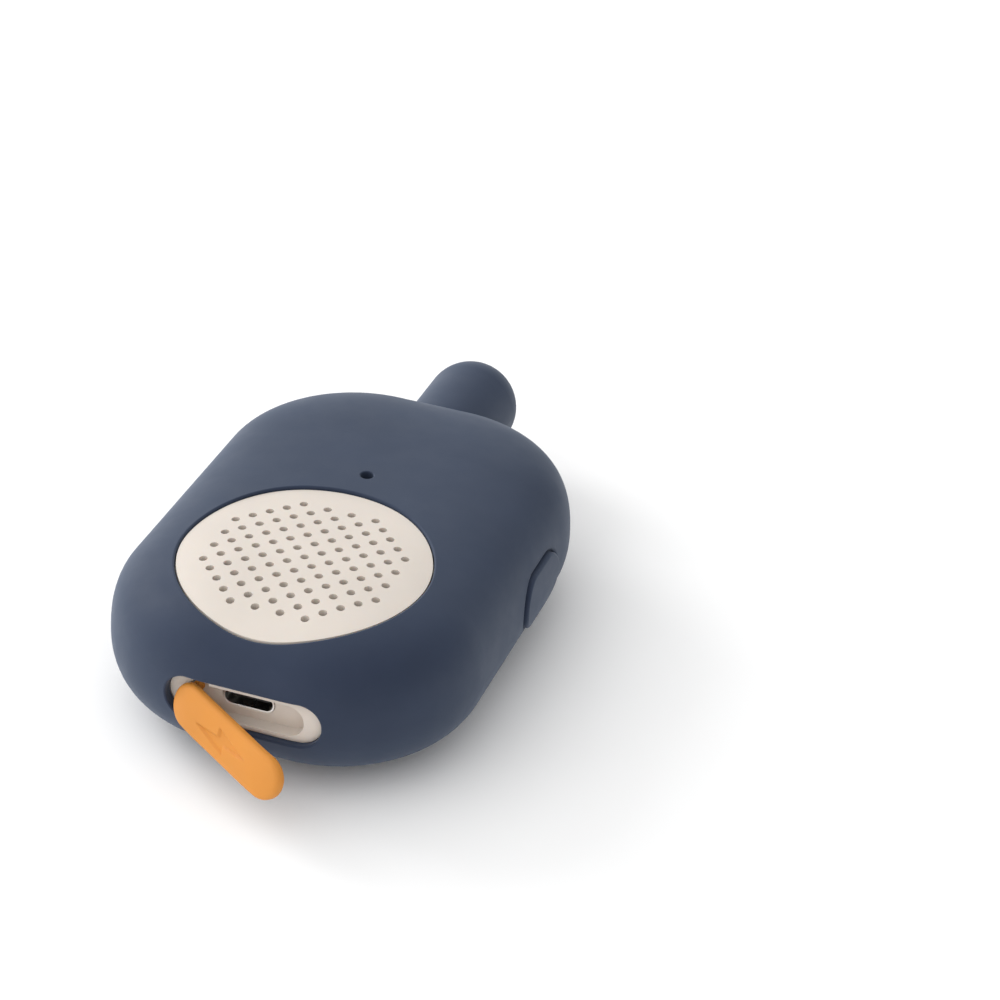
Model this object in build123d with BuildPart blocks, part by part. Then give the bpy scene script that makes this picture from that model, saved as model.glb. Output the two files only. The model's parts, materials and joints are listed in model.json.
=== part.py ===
"""Toy walkie talkie: a pebble-shaped handset in a silicone sleeve, lying on its back.

Millimetres. The origin is the centre of the flat back, +Z points out of the speaker side,
+Y points along the antenna and +X out of the side that carries the talk button. The charging
flap is shown open, which is where its hinge reads zero.
"""

from build123d import *
import math
import os

# ---------------------------------------------------------------- driving dimensions
BODY_WIDTH = 64.4
BODY_LENGTH = 91.0
CORNER_RADIUS = 25.6
BACK_HEIGHT = 13.7  # flat back to the widest section
FRONT_HEIGHT = 15.3  # widest section to the flat front
BACK_ROUND = 22.1  # how far the back's rounding reaches in from the outline
FRONT_ROUND = 25.2
BACK_BULGE = (0.579, 0.769)  # fullness of the rounding, at the side and at the flat
FRONT_BULGE = (0.739, 0.808)

GAP = 0.05  # between neighbouring pieces that rest on each other
SLEEVE_WALL = 1.8
RIM_ROUND = 0.3  # on the silicone around an opening
TALK_RIM_ROUND = 0.5
MIC_RIM_ROUND = 0.25
SHELL_OUTSIDE = SLEEVE_WALL + GAP  # the hard shells' depth under the silicone
SHELL_WALL = 1.6

ANTENNA_RADIUS = 8.6
ANTENNA_Z = 14.3
ANTENNA_TIP_Y = 61.1  # centre of the rounded tip
ANTENNA_ROOT_BLEND = 2.5
TUBE_RADIUS = 6.75
TUBE_WALL = 1.35
TUBE_FLANGE_RADIUS = 7.8
TUBE_FLANGE_Y = 36.6
TUBE_FLANGE_THICKNESS = 1.2
AERIAL_RADIUS = 3.2
AERIAL_START_Y = 42.0
AERIAL_LENGTH = 18.0
AERIAL_PITCH = 2.4
AERIAL_WIRE_RADIUS = 0.4
AERIAL_LEAD_START_Y = 33.0
AERIAL_LEAD_GAP = 2.5
AERIAL_LEAD_END = 0.7  # share of the coil's radius

GRILLE_Y = -19.3
GRILLE_RADIUS = 21.0
GRILLE_GAP = 0.25
GRILLE_DROP = 3.2  # the body's face is this much lower at the grille's lower edge
GRILLE_SINK = 0.2  # of the grille's face under the sleeve's, at its lower edge
GRILLE_SINK_DEGREES = 0.5
HOLE_PITCH = 3.06
HOLE_RADIUS = 0.72
HOLE_ROWS = 7  # lattice rows each side of the centre
HOLE_REACH = 10  # largest row number plus column number, which trims the pattern's corners
HOLES_Y = GRILLE_Y - 0.15

MIC_Y = 8.0
MIC_HOLE_RADIUS = 1.15
MIC_SHELL_HOLE_RADIUS = 0.9
MIC_RADIUS = 3.0
MIC_HEIGHT = 2.3
MIC_BOOT_RADIUS = 4.0
MIC_BOOT_HEIGHT = 3.2
MIC_BOOT_WALL = 0.2
MIC_LEAD_X = 1.3

TALK_Y = 8.5
TALK_LENGTH = 17.0
TALK_HEIGHT = 10.5
TALK_CLEARANCE = 0.25
TALK_PROUD = 0.6
TALK_THICKNESS = 1.2
STEM_LENGTH = 6.0
STEM_HEIGHT = 3.4
STEM_END_X = 25.4
STEM_CLEARANCE = 0.4
TALK_SWITCH_DEPTH = 4.2
TALK_SWITCH_CENTRE = 1.75  # above the board
SWITCH_SIDE = 6.0
PLUNGER_RADIUS = 1.2
PLUNGER_LENGTH = 3.0
PLUNGER_SHOW = 1.8
PLUNGER_WELL = 2.2

POWER_Y = -31.3
POWER_LENGTH = 9.0
POWER_WIDTH = 3.2
POWER_CLEARANCE = 0.2
POWER_FACE_Z = 0.25
POWER_FLANGE_Z = 4.8
POWER_FLANGE_THICKNESS = 0.8
POWER_FLANGE_WIDTH = 1.2
POWER_EDGE_ROUND = 0.6
POWER_STEM_RADIUS = 1.4
POWER_STEM_TOP = 8.85
POWER_PLUNGER_LENGTH = 1.8
POWER_PLUNGER_SHOW = 0.8
POWER_OPENING_TOP = 7.0

SLOT_Z = 14.2
SLOT_LENGTH = 27.0
SLOT_HEIGHT = 8.0
SHELL_SLOT_SPARE = 0.4  # the hard shells' opening is this much larger
BEZEL_DEPTH = 1.2  # rim of the port bezel below the body's surface
BEZEL_BACK_Y = -40.6
BEZEL_RELIEF_X = -6.0  # the rim steps down beyond this, where the flap's hinged end dips in
BEZEL_RELIEF_Y = -42.6
POCKET_LENGTH = 20.8
POCKET_HEIGHT = 5.8
POCKET_FLOOR_Y = -41.8
FLAP_PROUD = 0.6
FLAP_CLEARANCE = 0.2
FLAP_LIP_DEPTH = 0.4  # the full-size lip ends here, and a smaller plug carries on
FLAP_STEP = 0.8
FLAP_OPEN_DEGREES = 33.0
FLAP_AXIS = (-0.447, 0.383, -0.808)
FLAP_PIVOT = (-10.60, -46.97, 13.70)
TETHER_X = -8.3
TETHER_WIDTH = 2.6
TETHER_HEIGHT = 2.4
TETHER_THICKNESS = 0.9
TETHER_SINK = 0.35
TETHER_CORNER = 0.6
ANCHOR_X = -8.6
ANCHOR_RISE = 1.1  # above the slot's middle, so that its head clears the board
ANCHOR_RADIUS = 0.9
ANCHOR_HEAD_RADIUS = 1.6
ANCHOR_HEAD_HEIGHT = 0.9
ANCHOR_SHOW = 0.6

PORT_WIDTH = 8.94
PORT_HEIGHT = 3.26
PORT_LENGTH = 7.3
PORT_WALL = 0.3
PORT_BACK_WALL = 0.8
PORT_MOUTH_Y = -41.9
PORT_SINK = 0.65  # the receptacle sits this deep in a notch in the board
TONGUE_WIDTH = 6.6
TONGUE_THICKNESS = 0.7
TONGUE_LENGTH = 5.5

SPEAKER_RADIUS = 16.9
SPEAKER_RIM_Z = 22.6
COLLAR_BOTTOM = 20.5
CONE_RADIUS = 13.9
COIL_RADIUS = 7.5
YOKE_RADIUS = 9.2
YOKE_BOTTOM = 14.2
YOKE_HEIGHT = 2.4
YOKE_BASE = 0.8
YOKE_WALL = 0.9
MAGNET_RADIUS = 6.5
MAGNET_HEIGHT = 1.9
MAGNET_CAP_RADIUS = 6.7
COIL_LIFT = 0.7
COIL_HEIGHT = 3.1
PAPER = 0.4
CONE_LIFT = 0.2
DUST_CAP_SHARE = 0.6  # of the coil's radius
DUST_CAP_RISE = 1.6
DUST_CAP_EDGE_RISE = 1.2
SURROUND_CLEARANCE = 0.2
SURROUND_WIDTH = 1.4
SURROUND_THICKNESS = 0.3
SURROUND_RISE = 0.7
SPEAKER_RIM_HEIGHT = 1.2
BASKET_WALL = 0.8
BASKET_HOLE_RADIUS = 8.1
BASKET_VENT_LENGTH = 6.5
BASKET_VENT_WIDTH = 2.2
COLLAR_WALL = 1.5
GASKET_HEIGHT = 0.6
GASKET_WIDTH = 1.6
MESH_THICKNESS = 0.3
SPEAKER_LEAD_X = 1.5
SPEAKER_LEAD_START = 3.2
SPEAKER_LEAD_REACH = 3.8
SPEAKER_LEAD_BEND = 0.6  # share of the reach where the wire bends
THIN_WIRE_RADIUS = 0.35

BOARD_BOTTOM = 12.6
BOARD_THICKNESS = 1.0
BOARD_WIDTH = 52.0
BOARD_LENGTH = 76.0
BOARD_CORNER = 20.0
BOARD_Y = -2.3
SHIELD_PLACE = (-5.0, 21.5)
SHIELD_SIZE = (18.0, 17.0, 2.6)
SHIELD_WALL = 0.2
SHIELD_CORNER = 0.8
# each chip's centre on the board, and its width, length and height
BOARD_CHIPS = {
    "radio_chip": ((-5.0, 21.0), (6.0, 6.0, 1.0)),
    "audio_chip": ((8.5, 22.0), (5.0, 4.0, 1.2)),
    "crystal": ((7.6, 16.2), (3.2, 2.4, 0.8)),
}
CAPACITOR_PLACE = (9.0, 29.0)
CAPACITOR_PITCH = (2.6, 2.4)
CAPACITOR_SIZE = (1.6, 0.8, 0.8)

SCREW_PLACES = [(-18.5, -31.0), (18.5, -31.0), (-18.0, 27.0), (18.0, 27.0)]
SCREW_RADIUS = 1.1
SCREW_HEAD_RADIUS = 2.0
SCREW_HEAD_HEIGHT = 1.6
SCREW_SEAT_Z = 6.2
SCREW_TOP_Z = 18.0
SCREW_PILOT_SPARE = 1.0
SCREW_CROSS_LENGTH = 2.2
SCREW_CROSS_WIDTH = 0.5
BOSS_RADIUS = 2.8

BATTERY_SIZE = (32.0, 43.0, 6.3)
BATTERY_Y = 0.5
BATTERY_BOTTOM = 4.5
BATTERY_EDGE_ROUND = 1.5
BATTERY_CORNER_ROUND = 0.8
PAD_INSET = 3.0
PAD_THICKNESS = 0.5
SOCKET_AWAY = 6.0
SOCKET_WIDTH = 6.0
SOCKET_DEPTH = 4.0
SOCKET_HEIGHT = 3.5
SOCKET_PIN_X = 1.4
BATTERY_LEAD_SPLAY = 2.0
BATTERY_LEAD_RISE = 0.5
BATTERY_LEAD_GAP = 0.5
THICK_WIRE_RADIUS = 0.5

EMBLEM_DEPTH = 0.35
EMBLEM_DOT = 1.2
EMBLEM_WAVES = (3.2, 5.2, 7.2)
EMBLEM_STROKE = 0.8
EMBLEM_HALF_ANGLE = 42.0

# ---------------------------------------------------------------- derived places
EQUATOR = BACK_HEIGHT
BODY_TOP = BACK_HEIGHT + FRONT_HEIGHT
SIDE_X = BODY_WIDTH / 2
CORNER_X = SIDE_X - CORNER_RADIUS
CORNER_Y = BODY_LENGTH / 2 - CORNER_RADIUS
SHELL_INSIDE = SHELL_OUTSIDE + SHELL_WALL
BOARD_TOP = BOARD_BOTTOM + BOARD_THICKNESS
BOARD_SEAT = BOARD_TOP + GAP  # underside of whatever is soldered on top
SWITCH_Z = BOARD_SEAT + TALK_SWITCH_CENTRE  # middle of the stem that presses the switch
FAR = 60.0  # longer than the distance from the centre to any side of the body
SLOT_PLANE = Plane(origin=(0, 0, SLOT_Z), x_dir=(1, 0, 0), z_dir=(0, -1, 0))
TALK_PLANE = Plane(origin=(0, TALK_Y, EQUATOR), x_dir=(0, 1, 0), z_dir=(1, 0, 0))
STEM_PLANE = Plane(origin=(0, TALK_Y, SWITCH_Z), x_dir=(0, 1, 0), z_dir=(1, 0, 0))
POWER_PLANE = Plane(origin=(0, POWER_Y, 0))
GRILLE_PLANE = Plane(origin=(0, GRILLE_Y, 0))
GRILLE_OUTLINE = Plane(origin=(0, GRILLE_Y, EQUATOR), x_dir=(1, 2, 0), z_dir=(0, 0, 1))
MIC_PLANE = Plane(origin=(0, MIC_Y, 0))
ANTENNA_PLANE = Plane(origin=(0, 0, ANTENNA_Z), x_dir=(1, 0, 0), z_dir=(0, 1, 0))
SPEAKER_SECTION = Plane(origin=(0, GRILLE_Y, 0), x_dir=(1, 0, 0), z_dir=(0, -1, 0))
SPEAKER_AXIS = Axis((0, GRILLE_Y, 0), (0, 0, 1))
GRILLE_LOWER_EDGE = Axis((0, GRILLE_Y - GRILLE_RADIUS, BODY_TOP - GRILLE_DROP), (1, 0, 0))
PORT_PLANE = Plane(
    origin=(0, 0, BOARD_SEAT + PORT_HEIGHT / 2 - PORT_SINK), x_dir=(1, 0, 0), z_dir=(0, -1, 0)
)
PORT_BACK = -PORT_MOUTH_Y - PORT_LENGTH


# ---------------------------------------------------------------- shared forms
def edge_section(depth):
    """Section of the rounded edge, from the corner's own axis outwards, moved in by depth."""
    side = CORNER_RADIUS - depth
    top = FRONT_HEIGHT - depth
    bottom = depth - BACK_HEIGHT
    front_flat = CORNER_RADIUS - FRONT_ROUND
    back_flat = CORNER_RADIUS - BACK_ROUND
    with BuildSketch() as section:
        with BuildLine():
            Bezier(
                (side, 0),
                (side, FRONT_BULGE[0] * top),
                (front_flat + FRONT_BULGE[1] * (side - front_flat), top),
                (front_flat, top),
            )
            Polyline((front_flat, top), (0, top), (0, bottom), (back_flat, bottom))
            Bezier(
                (back_flat, bottom),
                (back_flat + BACK_BULGE[1] * (side - back_flat), bottom),
                (side, BACK_BULGE[0] * bottom),
                (side, 0),
            )
        make_face()
    return section.sketch


def pebble(depth):
    """The body's form moved inwards by depth: a rounded rectangle with a soft, full edge."""
    section = edge_section(depth)
    corner = (CORNER_X, CORNER_Y, EQUATOR)
    across = Plane(origin=corner, x_dir=(1, 0, 0), z_dir=(0, -1, 0))
    along = Plane(origin=corner, x_dir=(0, 1, 0), z_dir=(1, 0, 0))
    middle_z = EQUATOR + (FRONT_HEIGHT - BACK_HEIGHT) / 2
    with BuildPart() as body:
        with BuildSketch(across):
            add(section)
        revolve(axis=Axis((CORNER_X, CORNER_Y, 0), (0, 0, 1)), revolution_arc=90)
        with BuildSketch(across):
            add(section)
        extrude(amount=CORNER_Y)
        with BuildSketch(along):
            add(section)
        extrude(amount=-CORNER_X)
        with Locations((CORNER_X / 2, CORNER_Y / 2, middle_z)):
            Box(CORNER_X, CORNER_Y, FRONT_HEIGHT + BACK_HEIGHT - 2 * depth)
        mirror(about=Plane.YZ)
        mirror(about=Plane.XZ)
    return body.part


def rod_with_round_tip(radius, start_y):
    """The antenna's form: a rod along Y that ends in a half ball."""
    with BuildPart() as rod:
        with BuildSketch(ANTENNA_PLANE.offset(start_y)):
            Circle(radius)
        extrude(amount=ANTENNA_TIP_Y - start_y)
        with Locations((0, ANTENNA_TIP_Y, ANTENNA_Z)):
            Sphere(radius)
    return rod.part


def stadium_bar(plane, length, height, start, end):
    """A bar with round ends along the plane's normal, between two distances from the plane."""
    with BuildPart() as bar:
        with BuildSketch(plane.offset(start)):
            SlotOverall(length, height)
        extrude(amount=end - start)
    return bar.part


def ring(place, radius, height, hole=0.0):
    """A flat disc standing on its centre point, with an optional hole through it."""
    with BuildPart() as puck:
        with BuildSketch(Plane(origin=place)):
            Circle(radius)
            if hole:
                Circle(hole, mode=Mode.SUBTRACT)
        extrude(amount=height)
    return puck.part


def block(low, high):
    """A box between two opposite corners."""
    size = [b - a for a, b in zip(low, high)]
    middle = [(a + b) / 2 for a, b in zip(low, high)]
    with BuildPart() as brick:
        with Locations(tuple(middle)):
            Box(*size)
    return brick.part


def on_board(place, size):
    """A block standing on the board, from its centre and its width, length and height."""
    with BuildPart() as brick:
        with BuildSketch(Plane.XY.offset(BOARD_SEAT)):
            with Locations(place):
                Rectangle(size[0], size[1])
        extrude(amount=size[2])
    return brick.part


def wire(points, radius):
    """A round wire that bends softly through the points."""
    with BuildPart() as strand:
        with BuildLine() as route:
            Spline(*points)
        with BuildSketch(Plane(origin=route.line @ 0, z_dir=route.line % 0)):
            Circle(radius)
        sweep()
    return strand.part


def hole_lattice():
    """Centres of the grille's holes: a square lattice turned by 45 degrees, corners trimmed."""
    step = HOLE_PITCH / math.sqrt(2)
    rows = range(-HOLE_ROWS, HOLE_ROWS + 1)
    return [
        (step * i, HOLES_Y + step * j)
        for i in rows
        for j in rows
        if (i + j) % 2 == 0 and abs(i) + abs(j) <= HOLE_REACH
    ]


def runs_along(edge, plane, length, height):
    """True for an edge that follows the outline of a stadium drawn on the plane."""
    for share in (0.4, 0.8):
        local = plane.to_local_coords(edge @ share)
        along = max(abs(local.X) - (length - height) / 2, 0)
        if abs(math.hypot(along, local.Y) - height / 2) > GAP / 2 or local.Z < 0:
            return False
    return True


def outer_rim(part, plane, length, height, below):
    """The edges of an opening or a button that lie outside the form called below."""
    followed = part.edges().filter_by(lambda edge: runs_along(edge, plane, length, height))
    return followed.filter_by(lambda edge: not below.is_inside(edge @ 0.5))


def is_root_edge(edge):
    """True for the seam where the antenna leaves the rounded end of the body."""
    point = edge @ 0.3
    from_axis = math.hypot(point.X, point.Z - ANTENNA_Z)
    on_antenna = abs(from_axis - ANTENNA_RADIUS) < GAP
    return on_antenna and CORNER_Y + GAP < edge.center().Y < BODY_LENGTH / 2 + GAP


def open_flap(part):
    """Swings a piece of the closed flap out to where it rests when it is open."""
    return part.rotate(Axis(FLAP_PIVOT, FLAP_AXIS), FLAP_OPEN_DEGREES)


def save(part, name):
    """Labels a finished piece and writes it under its own name."""
    part.label = name
    export_step(part, f"parts/{name}.step")


os.makedirs("parts", exist_ok=True)
body_form = pebble(0)
sleeve_space = pebble(SLEEVE_WALL)
shell_form = pebble(SHELL_OUTSIDE)
shell_space = pebble(SHELL_INSIDE)
slot_opening = stadium_bar(SLOT_PLANE, SLOT_LENGTH, SLOT_HEIGHT, CORNER_Y, FAR)
bezel_opening = stadium_bar(
    SLOT_PLANE, SLOT_LENGTH + SHELL_SLOT_SPARE, SLOT_HEIGHT + SHELL_SLOT_SPARE, CORNER_Y, FAR
)
talk_opening = stadium_bar(TALK_PLANE, TALK_LENGTH, TALK_HEIGHT, EQUATOR, FAR)
stem_opening = stadium_bar(
    STEM_PLANE, STEM_LENGTH + 2 * STEM_CLEARANCE, STEM_HEIGHT + 2 * STEM_CLEARANCE, EQUATOR, FAR
)
power_opening = stadium_bar(
    POWER_PLANE,
    POWER_LENGTH + 2 * POWER_CLEARANCE,
    POWER_WIDTH + 2 * POWER_CLEARANCE,
    -POWER_OPENING_TOP,
    POWER_OPENING_TOP,
)
antenna_bore = rod_with_round_tip(TUBE_RADIUS + GAP, CORNER_Y)

# ---------------------------------------------------------------- silicone sleeve
with BuildPart() as silicone_sleeve:
    add(body_form)
    add(rod_with_round_tip(ANTENNA_RADIUS, CORNER_Y))
    fillet(silicone_sleeve.edges().filter_by(is_root_edge), ANTENNA_ROOT_BLEND)
    add(sleeve_space, mode=Mode.SUBTRACT)
    add(antenna_bore, mode=Mode.SUBTRACT)
    add(slot_opening, mode=Mode.SUBTRACT)
    add(power_opening, mode=Mode.SUBTRACT)
    add(talk_opening, mode=Mode.SUBTRACT)
    with BuildSketch(GRILLE_OUTLINE):
        Circle(GRILLE_RADIUS + GRILLE_GAP)
    extrude(amount=FAR, mode=Mode.SUBTRACT)
    with BuildSketch(Plane((0, MIC_Y, EQUATOR))):
        Circle(MIC_HOLE_RADIUS)
    extrude(amount=FAR, mode=Mode.SUBTRACT)
    half_way = pebble(SLEEVE_WALL / 2)
    grille_opening = 2 * (GRILLE_RADIUS + GRILLE_GAP)
    mic_opening = 2 * MIC_HOLE_RADIUS
    rims = [
        (GRILLE_PLANE, grille_opening, grille_opening, RIM_ROUND),
        (SLOT_PLANE, SLOT_LENGTH, SLOT_HEIGHT, RIM_ROUND),
        (TALK_PLANE, TALK_LENGTH, TALK_HEIGHT, TALK_RIM_ROUND),
        (MIC_PLANE, mic_opening, mic_opening, MIC_RIM_ROUND),
    ]
    for plane, length, height, round_radius in rims:
        rim = outer_rim(silicone_sleeve.part, plane, length, height, half_way)
        fillet(rim, round_radius)
    # the back's mark, pressed in: a dot with three radio waves on each side
    with BuildSketch():
        Circle(EMBLEM_DOT)
        for radius in EMBLEM_WAVES:
            for side in (0, 180):
                with BuildLine():
                    CenterArc((0, 0), radius, side - EMBLEM_HALF_ANGLE, 2 * EMBLEM_HALF_ANGLE)
                trace(line_width=EMBLEM_STROKE)
    extrude(amount=EMBLEM_DEPTH, mode=Mode.SUBTRACT)
save(silicone_sleeve.part, "silicone_sleeve")

# ---------------------------------------------------------------- hard shells
with BuildPart() as shell_blank:
    add(shell_form)
    add(shell_space, mode=Mode.SUBTRACT)
    with Locations(*[(x, y, EQUATOR) for x, y in SCREW_PLACES]):
        Cylinder(BOSS_RADIUS, 2 * EQUATOR)
    with Locations((0, GRILLE_Y, BODY_TOP)):
        Cylinder(SPEAKER_RADIUS + COLLAR_WALL, 2 * (BODY_TOP - COLLAR_BOTTOM))
        Cylinder(SPEAKER_RADIUS + GAP, 2 * (BODY_TOP - EQUATOR), mode=Mode.SUBTRACT)
    add(shell_form, mode=Mode.INTERSECT)
    add(bezel_opening, mode=Mode.SUBTRACT)
    add(antenna_bore, mode=Mode.SUBTRACT)
    add(stem_opening, mode=Mode.SUBTRACT)
    with Locations((0, MIC_Y, BODY_TOP)):
        Cylinder(MIC_SHELL_HOLE_RADIUS, BODY_TOP - EQUATOR, mode=Mode.SUBTRACT)
    with Locations(*[(x, y, 0) for x, y in SCREW_PLACES]):
        Cylinder(SCREW_RADIUS + GAP, 2 * (SCREW_TOP_Z + SCREW_PILOT_SPARE), mode=Mode.SUBTRACT)
        Cylinder(SCREW_HEAD_RADIUS + 2 * GAP, 2 * SCREW_SEAT_Z, mode=Mode.SUBTRACT)
    # the bosses stop short of the board, which they clamp between them
    with BuildSketch(Plane.XY.offset(BOARD_BOTTOM - GAP)):
        with Locations(*SCREW_PLACES):
            Circle(BOSS_RADIUS + GAP)
    extrude(amount=EQUATOR - BOARD_BOTTOM + 2 * GAP, mode=Mode.SUBTRACT)

with BuildPart() as front_shell:
    add(shell_blank.part)
    split(bisect_by=Plane.XY.offset(EQUATOR + GAP), keep=Keep.TOP)
save(front_shell.part, "front_shell")

with BuildPart() as rear_shell:
    add(shell_blank.part)
    split(bisect_by=Plane.XY.offset(EQUATOR), keep=Keep.BOTTOM)
    add(power_opening, mode=Mode.SUBTRACT)
save(rear_shell.part, "rear_shell")

with BuildPart() as housing_screws:
    for x, y in SCREW_PLACES:
        head_plane = Plane((x, y, SCREW_SEAT_Z - SCREW_HEAD_HEIGHT))
        with BuildSketch(head_plane):
            Circle(SCREW_HEAD_RADIUS)
        extrude(amount=SCREW_HEAD_HEIGHT)
        with BuildSketch(Plane((x, y, SCREW_SEAT_Z))):
            Circle(SCREW_RADIUS)
        extrude(amount=SCREW_TOP_Z - SCREW_SEAT_Z)
        with BuildSketch(head_plane):
            Rectangle(SCREW_CROSS_LENGTH, SCREW_CROSS_WIDTH)
            Rectangle(SCREW_CROSS_WIDTH, SCREW_CROSS_LENGTH)
        extrude(amount=SCREW_HEAD_HEIGHT / 2, mode=Mode.SUBTRACT)
save(housing_screws.part, "housing_screws")

# ---------------------------------------------------------------- speaker and its grille
# the grille sinks a little further below the sleeve towards the antenna
grille_face = pebble(GRILLE_SINK).rotate(GRILLE_LOWER_EDGE, -GRILLE_SINK_DEGREES)
with BuildPart() as speaker_grille:
    with BuildSketch(GRILLE_OUTLINE):
        Circle(GRILLE_RADIUS)
    extrude(amount=FRONT_HEIGHT)
    add(grille_face, mode=Mode.INTERSECT)
    add(pebble(SLEEVE_WALL), mode=Mode.SUBTRACT)
    with BuildSketch(Plane.XY.offset(EQUATOR)):
        with Locations(*hole_lattice()):
            Circle(HOLE_RADIUS)
    extrude(amount=FRONT_HEIGHT, mode=Mode.SUBTRACT)
save(speaker_grille.part, "speaker_grille")

gasket_z = SPEAKER_RIM_Z + GAP
mesh_z = gasket_z + GASKET_HEIGHT + GAP
save(ring((0, GRILLE_Y, mesh_z), SPEAKER_RADIUS, MESH_THICKNESS), "dust_mesh")
save(
    ring((0, GRILLE_Y, gasket_z), SPEAKER_RADIUS, GASKET_HEIGHT, SPEAKER_RADIUS - GASKET_WIDTH),
    "speaker_gasket",
)

rim_bottom = SPEAKER_RIM_Z - SPEAKER_RIM_HEIGHT
yoke_top = YOKE_BOTTOM + YOKE_HEIGHT
surround_inside = CONE_RADIUS + SURROUND_CLEARANCE
surround_outside = surround_inside + SURROUND_WIDTH
surround_middle = (surround_inside + surround_outside) / 2

with BuildPart() as speaker_frame:
    with BuildSketch(SPEAKER_SECTION):
        with BuildLine():
            Polyline(
                (surround_outside + GAP, SPEAKER_RIM_Z),
                (SPEAKER_RADIUS, SPEAKER_RIM_Z),
                (SPEAKER_RADIUS, rim_bottom),
                (YOKE_RADIUS + BASKET_WALL, yoke_top + GAP),
                (BASKET_HOLE_RADIUS, yoke_top + GAP),
                (BASKET_HOLE_RADIUS, yoke_top + BASKET_WALL),
                (YOKE_RADIUS, yoke_top + BASKET_WALL),
                (surround_inside + SURROUND_THICKNESS, rim_bottom),
                (surround_outside + GAP, rim_bottom),
                close=True,
            )
        make_face()
    revolve(axis=SPEAKER_AXIS)
    # openings in the basket let the air behind the cone out
    with BuildSketch(Plane.XY.offset(yoke_top + BASKET_WALL)):
        with Locations((0, GRILLE_Y)):
            with PolarLocations((YOKE_RADIUS + surround_inside) / 2, 4, start_angle=45):
                SlotOverall(BASKET_VENT_LENGTH, BASKET_VENT_WIDTH, rotation=90)
    extrude(amount=rim_bottom - yoke_top - 2 * BASKET_WALL, both=True, mode=Mode.SUBTRACT)
save(speaker_frame.part, "speaker_frame")

with BuildPart() as speaker_surround:
    with BuildSketch(SPEAKER_SECTION):
        with BuildLine():
            for low in (rim_bottom, rim_bottom + SURROUND_THICKNESS):
                ThreePointArc(
                    (surround_inside, low),
                    (surround_middle, low + SURROUND_RISE),
                    (surround_outside, low),
                )
            for edge_radius in (surround_inside, surround_outside):
                Line((edge_radius, rim_bottom), (edge_radius, rim_bottom + SURROUND_THICKNESS))
        make_face()
    revolve(axis=SPEAKER_AXIS)
save(speaker_surround.part, "speaker_surround")

coil_bottom = YOKE_BOTTOM + YOKE_BASE + COIL_LIFT
coil_top = coil_bottom + COIL_HEIGHT
cap_edge = COIL_RADIUS * DUST_CAP_SHARE
with BuildPart() as speaker_cone:
    with BuildSketch(SPEAKER_SECTION):
        with BuildLine():
            Polyline(
                (0, coil_top + DUST_CAP_RISE + PAPER),
                (cap_edge, coil_top + DUST_CAP_EDGE_RISE + PAPER),
                (COIL_RADIUS - PAPER, coil_top + PAPER),
                (CONE_RADIUS, rim_bottom + CONE_LIFT + PAPER),
                (CONE_RADIUS, rim_bottom + CONE_LIFT),
                (COIL_RADIUS, coil_top + GAP),
                (COIL_RADIUS - PAPER, coil_top + GAP),
                (cap_edge, coil_top + DUST_CAP_EDGE_RISE),
                (0, coil_top + DUST_CAP_RISE),
                close=True,
            )
        make_face()
    revolve(axis=SPEAKER_AXIS)
save(speaker_cone.part, "speaker_cone")
save(
    ring((0, GRILLE_Y, coil_bottom), COIL_RADIUS, COIL_HEIGHT, COIL_RADIUS - PAPER),
    "voice_coil",
)

with BuildPart() as speaker_yoke:
    add(ring((0, GRILLE_Y, YOKE_BOTTOM), YOKE_RADIUS, YOKE_BASE))
    add(ring((0, GRILLE_Y, YOKE_BOTTOM), YOKE_RADIUS, YOKE_HEIGHT, YOKE_RADIUS - YOKE_WALL))
save(speaker_yoke.part, "speaker_yoke")

magnet_z = YOKE_BOTTOM + YOKE_BASE + GAP
save(ring((0, GRILLE_Y, magnet_z), MAGNET_RADIUS, MAGNET_HEIGHT), "speaker_magnet")
save(
    ring((0, GRILLE_Y, magnet_z + MAGNET_HEIGHT + GAP), MAGNET_CAP_RADIUS, YOKE_BASE),
    "magnet_cap",
)

# ---------------------------------------------------------------- main board
with BuildPart() as main_board:
    with BuildSketch(Plane.XY.offset(BOARD_BOTTOM)):
        with Locations((0, BOARD_Y)):
            RectangleRounded(BOARD_WIDTH, BOARD_LENGTH, BOARD_CORNER)
        with Locations(*SCREW_PLACES):
            Circle(SCREW_RADIUS + 4 * GAP, mode=Mode.SUBTRACT)
        with Locations((0, 2 * GAP - PORT_BACK - FAR / 2)):
            Rectangle(PORT_WIDTH + 4 * GAP, FAR, mode=Mode.SUBTRACT)
    extrude(amount=BOARD_THICKNESS)
save(main_board.part, "main_board")

with BuildPart() as rf_shield:
    add(on_board(SHIELD_PLACE, SHIELD_SIZE))
    fillet(rf_shield.edges().filter_by(Axis.Z), SHIELD_CORNER)
    fillet(rf_shield.faces().sort_by(Axis.Z)[-1].edges(), SHIELD_WALL)
    shield_inside = [
        SHIELD_SIZE[0] - 2 * SHIELD_WALL,
        SHIELD_SIZE[1] - 2 * SHIELD_WALL,
        SHIELD_SIZE[2] - SHIELD_WALL,
    ]
    add(on_board(SHIELD_PLACE, shield_inside), mode=Mode.SUBTRACT)
save(rf_shield.part, "rf_shield")

for chip_name, (place, size) in BOARD_CHIPS.items():
    save(on_board(place, size), chip_name)

with BuildPart() as capacitors:
    with BuildSketch(Plane.XY.offset(BOARD_SEAT)):
        with Locations(CAPACITOR_PLACE):
            with GridLocations(CAPACITOR_PITCH[0], CAPACITOR_PITCH[1], 4, 2):
                Rectangle(CAPACITOR_SIZE[0], CAPACITOR_SIZE[1])
    extrude(amount=CAPACITOR_SIZE[2])
save(capacitors.part, "capacitors")

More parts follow.
